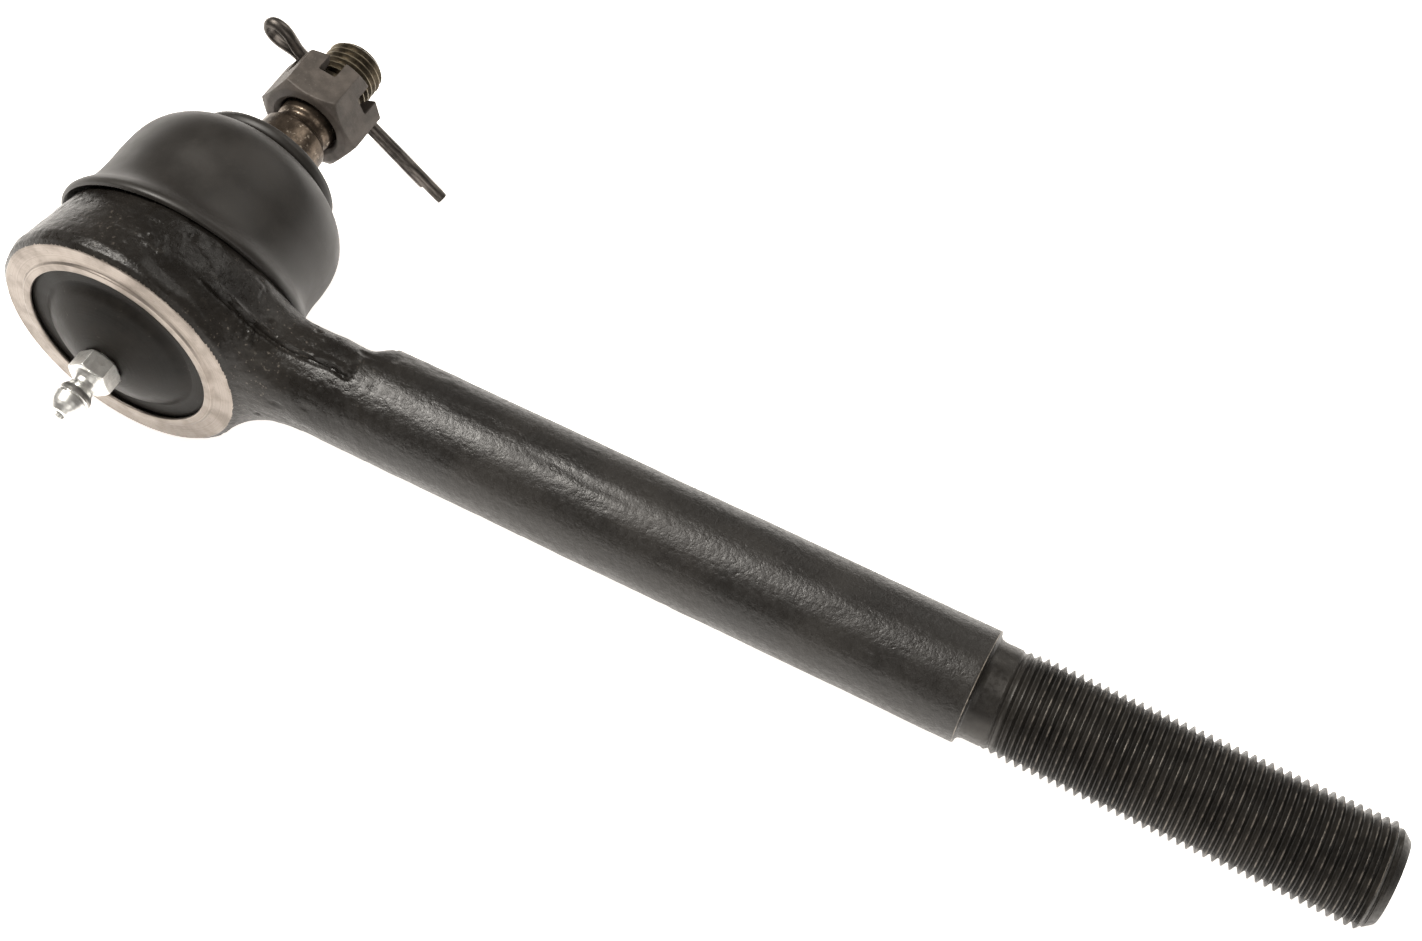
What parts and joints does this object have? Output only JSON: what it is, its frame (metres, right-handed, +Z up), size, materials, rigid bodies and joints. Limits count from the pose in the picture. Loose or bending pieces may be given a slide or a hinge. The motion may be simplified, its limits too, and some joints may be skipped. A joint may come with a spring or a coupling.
{
  "type": "tie rod end",
  "caption": "Greaseable outer tie rod end with a long threaded shank, dust boot, tapered ball stud, castle nut and cotter pin.",
  "frame": {"origin": "middle of the base of the part's box as it lies on its side; the ball centre is at (-0.0975, -0.018, 0.023) m", "axes": "+X along the shank towards its threaded end, +Y along the ball stud towards its tip, +Z up"},
  "size_m": [0.241, 0.091, 0.046],
  "materials": {
    "forged_steel": "satin black forging coat, rough as forged on the eye and neck, turned on the shank",
    "stud_steel": "ground and lightly browned",
    "phosphate_steel": "matte grey phosphate",
    "pin_steel": "dark drawn wire",
    "cover_steel": "satin dark stamped sheet",
    "zinc": "bright zinc plate",
    "polymer": "moulded",
    "sintered_steel": "sintered",
    "spring_steel": "oiled",
    "bearing_steel": "polished",
    "rubber": "smooth satin moulded rubber"
  },
  "bodies": {
    "housing_body": {"housing": "forged_steel", "upper_bearing": "polymer", "cover_plate": "cover_steel", "grease_fitting": "zinc", "preload_spring": "spring_steel", "fitting_spring": "spring_steel"},
    "seat_body": {"lower_seat": "sintered_steel"},
    "valve_body": {"fitting_ball": "bearing_steel"},
    "boot_body": {"dust_boot": "rubber"},
    "collar_body": {"boot_seal_ring": "rubber"},
    "stud_body": {"ball_stud": "stud_steel", "castle_nut": "phosphate_steel", "cotter_pin": "pin_steel"}
  },
  "joints": [
    {"name": "stud_tilt_about_shank", "type": "hinge", "parent": "housing_body", "child": "boot_body", "pos_m": [-0.0975, -0.018, 0.023], "axis": [1, 0, 0], "range_deg": [-15, 15], "deforming": ["dust_boot"]},
    {"name": "stud_tilt_along_shank", "type": "hinge", "parent": "boot_body", "child": "collar_body", "pos_m": [-0.0975, -0.018, 0.023], "axis": [0, 0, 1], "range_deg": [-15, 15], "deforming": ["dust_boot"]},
    {"name": "stud_swivel", "type": "hinge", "parent": "collar_body", "child": "stud_body", "pos_m": [-0.0975, -0.018, 0.023], "axis": [0, 1, 0], "continuous": true},
    {"name": "seat_takeup", "type": "slide", "parent": "housing_body", "child": "seat_body", "axis": [0, 1, 0], "range_m": [-0.0002, 0.0002], "stiffness_N_per_m": 3000, "deforming": ["preload_spring"]},
    {"name": "grease_valve_slide", "type": "slide", "parent": "housing_body", "child": "valve_body", "axis": [0, 1, 0], "range_m": [0, 0.001], "stiffness_N_per_m": 200, "deforming": ["fitting_spring"]}
  ]
}
